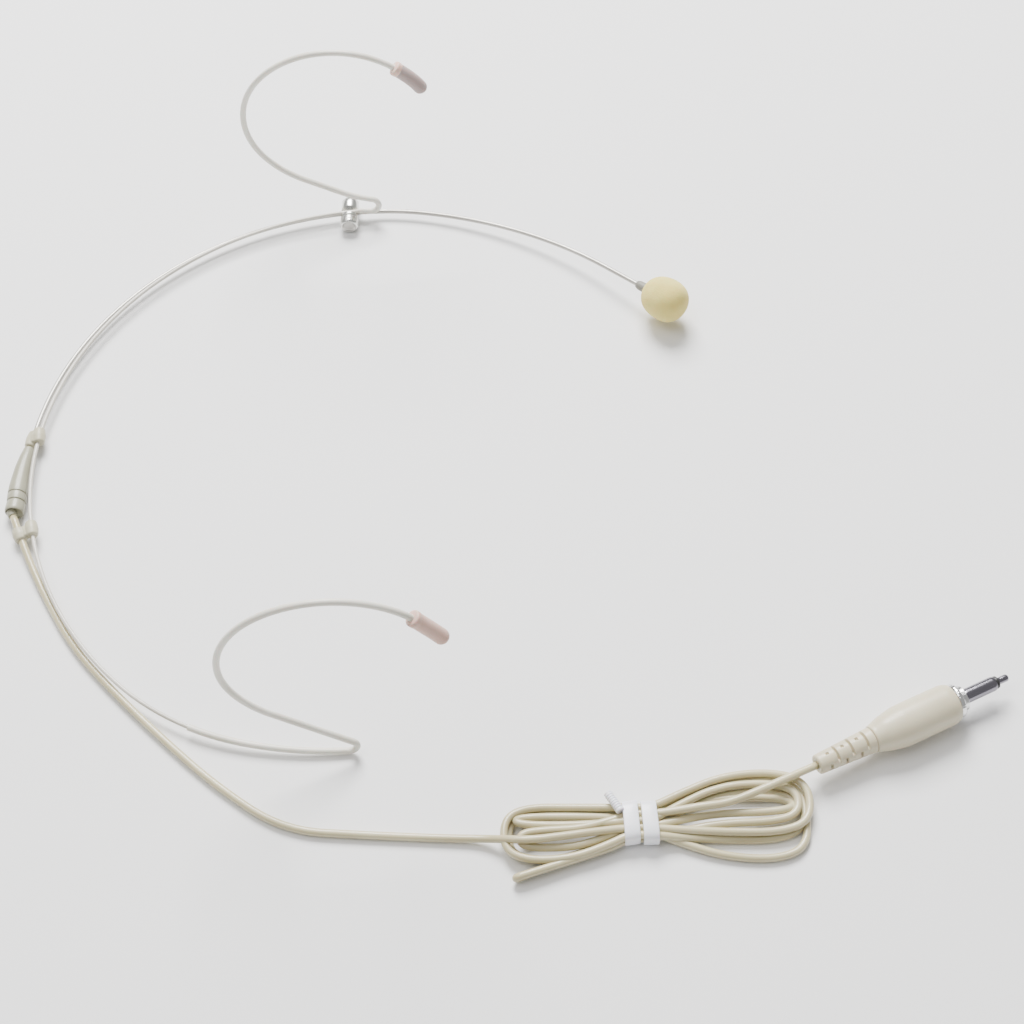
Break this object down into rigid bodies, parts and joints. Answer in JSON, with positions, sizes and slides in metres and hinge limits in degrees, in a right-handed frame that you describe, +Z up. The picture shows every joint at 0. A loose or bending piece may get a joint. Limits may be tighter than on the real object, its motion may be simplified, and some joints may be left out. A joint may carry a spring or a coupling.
{
  "type": "headset microphone",
  "caption": "Slim behind-the-neck headset microphone with wire ear hooks, a boom with a foam windscreen, a beige cable tied in a hank, and a locking mini jack.",
  "frame": {"origin": "centre of the headset's footprint, on the table it lies on, without its free cable and plug", "axes": "+X the wearer's forward, +Y the wearer's left, +Z up from the table, ear hooks standing"},
  "size_m": [0.2401, 0.2015, 0.0619],
  "materials": {
    "neckband_steel": "satin coating on spring steel",
    "boom_steel": "satin",
    "hook_sleeve": "soft tubing",
    "ear_tip": "flesh pink silicone",
    "polished_steel": "polished",
    "cable_jacket": "semi gloss cream",
    "tie_plastic": "white",
    "plug_shell": "satin cream",
    "brass_parts": "turned",
    "insulator": "black",
    "plated_metal": "bright",
    "jack_metal": "bright",
    "boot_plastic": "grey",
    "housing_plastic": "satin beige",
    "keeper_plastic": "beige",
    "foam": "open cell foam, pale cream"
  },
  "bodies": {
    "headband": {"neckband_wire": "neckband_steel", "right_hook_core": "neckband_steel", "right_hook_sleeve": "hook_sleeve", "right_ear_tip": "ear_tip", "left_hook_core": "neckband_steel", "left_hook_sleeve": "hook_sleeve", "left_ear_tip": "ear_tip", "clamp_barrel": "polished_steel", "clamp_plunger": "polished_steel", "cable_run": "cable_jacket", "cable_hank": "cable_jacket", "cable_tail": "cable_jacket", "tie_band_left": "tie_plastic", "tie_band_right": "tie_plastic", "tie_stub": "tie_plastic", "plug_strain_relief": "plug_shell", "plug_cable_end": "cable_jacket", "plug_body": "plug_shell", "crimp_sleeve": "brass_parts", "plug_core": "insulator", "jack_root": "plated_metal", "jack_sleeve": "jack_metal", "jack_insulator": "insulator", "jack_tip": "jack_metal"},
    "boom": {"boom_tube": "boom_steel", "boom_lead": "cable_jacket", "capsule_boot": "boot_plastic", "capsule_shell": "plated_metal", "microphone_capsule": "plated_metal", "capsule_gasket": "insulator", "capsule_grille": "polished_steel", "junction_housing": "housing_plastic", "boom_ferrule": "brass_parts", "lead_splice": "insulator", "housing_end_cap": "insulator", "cable_gland": "housing_plastic", "upper_keeper": "keeper_plastic", "lower_keeper": "keeper_plastic"},
    "windscreen": {"foam_windscreen": "foam"},
    "knob": {"clamp_knob": "polished_steel"},
    "lock": {"lock_ring": "plated_metal"}
  },
  "joints": [
    {"name": "boom_slide", "type": "hinge", "parent": "headband", "child": "boom", "pos_m": [0.00626, -0.00439, 0.002], "axis": [0, 0, 1], "range_deg": [-6, 4], "deforming": ["cable_run"]},
    {"name": "windscreen_pull", "type": "slide", "parent": "boom", "child": "windscreen", "axis": [0.7546, -0.6495, 0.0931], "range_m": [0, 0.014]},
    {"name": "clamp_knob_turn", "type": "hinge", "parent": "headband", "child": "knob", "pos_m": [-0.00483, 0.0822, 0.0024], "axis": [0, -1, 0], "continuous": true},
    {"name": "lock_ring_spin", "type": "hinge", "parent": "headband", "child": "lock", "pos_m": [0.14123, -0.07402, 0.00505], "axis": [0.8926, 0.4509, 0], "continuous": true}
  ]
}
